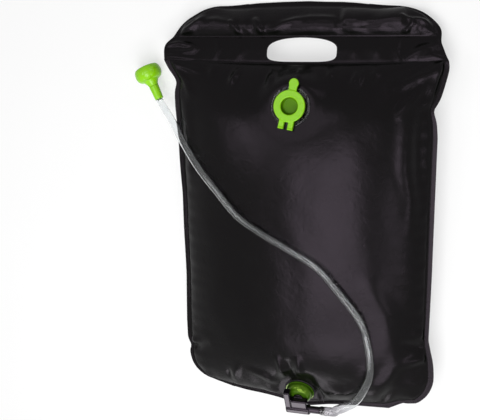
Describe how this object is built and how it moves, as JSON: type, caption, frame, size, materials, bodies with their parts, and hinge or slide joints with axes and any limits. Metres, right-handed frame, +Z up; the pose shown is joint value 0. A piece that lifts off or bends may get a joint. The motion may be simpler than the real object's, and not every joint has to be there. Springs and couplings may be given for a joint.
{
  "type": "camp shower bag",
  "caption": "Full black film water bag lying on its back, with a hand slot, hinged filler cap, green spout, elbow, clear hose and mushroom shower head.",
  "frame": {"origin": "on the ground, in the middle of the flat patch the full bag lies on, under the middle of its body", "axes": "+X across the bag, to its right seen from the front; +Y along it, to the handle; +Z up, out of its front"},
  "size_m": [0.4688, 0.6114, 0.1126],
  "materials": {
    "black_film": "soft sheen, black",
    "black_film_back": "soft sheen, black",
    "grey_tube": "smooth, grey",
    "clear_flange": "clear, soft",
    "green_soft": "glossy, bright green",
    "patch_film": "glossy, black",
    "green_spout": "glossy, translucent green",
    "black_gloss": "high gloss, black",
    "clear_hose": "clear, glossy",
    "white_stem": "smooth, white",
    "black_rubber": "smooth, black",
    "green_plate": "glossy, green"
  },
  "bodies": {
    "bag": {"front_panel": "black_film", "back_panel": "black_film_back", "handle_rod": "grey_tube", "filler_neck": "clear_flange", "filler_retainer": "green_soft", "outlet_patch": "patch_film", "outlet_spout": "green_spout", "outlet_elbow": "black_gloss", "hose": "clear_hose", "head_collar": "green_soft", "head_stem": "white_stem", "head_gland_ring": "black_rubber", "head_plug_ring": "black_rubber"},
    "cap": {"filler_cap": "green_soft"},
    "sprayer": {"head_body": "green_soft", "spray_plate": "green_plate"}
  },
  "joints": [
    {"name": "cap_hinge", "type": "hinge", "parent": "bag", "child": "cap", "pos_m": [-0.01212, 0.1686, 0.09783], "axis": [0.9863, -0.1614, 0.0343], "range_deg": [0, 150]},
    {"name": "sprayer_slide", "type": "slide", "parent": "bag", "child": "sprayer", "axis": [-0.4449, 0.8847, -0.1392], "range_m": [0, 0.006]}
  ]
}
